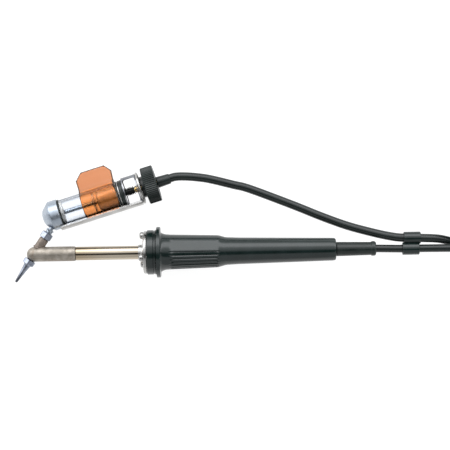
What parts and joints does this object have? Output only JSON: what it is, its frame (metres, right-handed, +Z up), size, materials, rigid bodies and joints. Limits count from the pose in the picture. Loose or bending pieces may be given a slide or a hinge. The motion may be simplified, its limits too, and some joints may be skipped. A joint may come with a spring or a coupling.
{
  "type": "vacuum desoldering iron",
  "caption": "Pencil-grip heated desoldering iron with angled suction nozzle, clear solder container, vacuum hose and power cable.",
  "frame": {"origin": "on the bench, under the middle of the tool without its cords, which lies on its side", "axes": "+X along the handle from nozzle to cable, +Y towards the solder container, +Z up from the bench"},
  "size_m": [0.4101, 0.1057, 0.0442],
  "materials": {
    "black_plastic": "semi-gloss moulded black plastic",
    "black_rubber": "matte black rubber",
    "cord_jacket": "satin black rubber jacket",
    "tan_metal": "heat-tinted matte metal",
    "polished_steel": "warm polished steel tube",
    "drawn_metal": "bright drawn metal",
    "blue_aluminium": "satin cool aluminium",
    "nozzle_metal": "plated nozzle metal",
    "ceramic": "off-white ceramic",
    "white_filter": "white felted filter",
    "clear_glass": "clear glass",
    "orange_film": "translucent orange film",
    "brass": "turned brass",
    "green_board": "circuit board",
    "spring_steel": "blackened spring wire",
    "strap": "black hook-and-loop strap"
  },
  "bodies": {
    "iron": {"handle_grip": "black_plastic", "front_collar": "black_plastic", "front_plate": "drawn_metal", "front_screw_1": "drawn_metal", "front_screw_2": "drawn_metal", "front_screw_3": "drawn_metal", "insulating_carrier": "ceramic", "terminal_board": "green_board", "heater_leads": "ceramic", "cable_clamp": "black_plastic", "strain_relief": "black_rubber", "heater_barrel": "polished_steel", "barrel_collar": "drawn_metal", "heating_element": "ceramic", "temperature_sensor": "ceramic", "heater_head": "tan_metal", "suction_tube": "tan_metal", "union_nut": "nozzle_metal", "inlet_pipe": "blue_aluminium", "inlet_cap": "blue_aluminium", "front_seal": "black_rubber", "container_rail": "drawn_metal", "spindle_bush": "brass", "rear_cage": "drawn_metal", "rear_plate": "drawn_metal", "return_spring": "spring_steel", "vacuum_hose": "cord_jacket", "hose_coil": "cord_jacket", "hose_tail": "cord_jacket", "hose_coupling": "drawn_metal", "power_cable": "cord_jacket", "cable_coil": "cord_jacket", "cable_tail": "cord_jacket", "plug_body": "black_plastic", "plug_insert": "black_plastic", "cord_clip": "black_plastic", "coil_tie_1": "strap", "coil_tie_2": "strap"},
    "nozzle": {"desoldering_nozzle": "nozzle_metal"},
    "plunger": {"plunger_stem": "brass", "seal_disc": "black_rubber", "seal_washer": "drawn_metal", "rear_gasket": "black_rubber", "hose_nipple": "brass", "hose_sleeve": "black_rubber"},
    "knob": {"release_knob": "black_plastic"},
    "container": {"glass_tube": "clear_glass", "front_insert": "ceramic", "solder_baffle": "drawn_metal", "filter_cartridge": "white_filter"},
    "shield": {"heat_shield": "orange_film"},
    "plug_lock": {"plug_ring": "drawn_metal"}
  },
  "joints": [
    {"name": "plunger_slide", "type": "slide", "parent": "iron", "child": "plunger", "axis": [0.9578, 0.2874, 0], "range_m": [0, 0.006], "stiffness_N_per_m": 1500, "springref_m": -0.004, "deforming": ["return_spring", "vacuum_hose"]},
    {"name": "knob_turn", "type": "hinge", "parent": "plunger", "child": "knob", "pos_m": [-0.03035, 0.02649, 0.01775], "axis": [0.9578, 0.2874, 0], "range_deg": [0, 90]},
    {"name": "container_lift", "type": "slide", "parent": "iron", "child": "container", "axis": [-0.2874, 0.9578, 0], "range_m": [0, 0.025]},
    {"name": "shield_turn", "type": "hinge", "parent": "container", "child": "shield", "pos_m": [-0.06579, 0.01585, 0.01775], "axis": [0.9578, 0.2874, 0], "range_deg": [-45, 45]},
    {"name": "nozzle_turn", "type": "hinge", "parent": "iron", "child": "nozzle", "pos_m": [-0.11275, -0.0209, 0.01775], "axis": [0.5664, 0.8241, 0], "range_deg": [0, 360]},
    {"name": "plug_ring_turn", "type": "hinge", "parent": "iron", "child": "plug_lock", "pos_m": [0.2594, 0.0516, 0.0352], "axis": [0, 1, 0], "range_deg": [0, 60]}
  ]
}
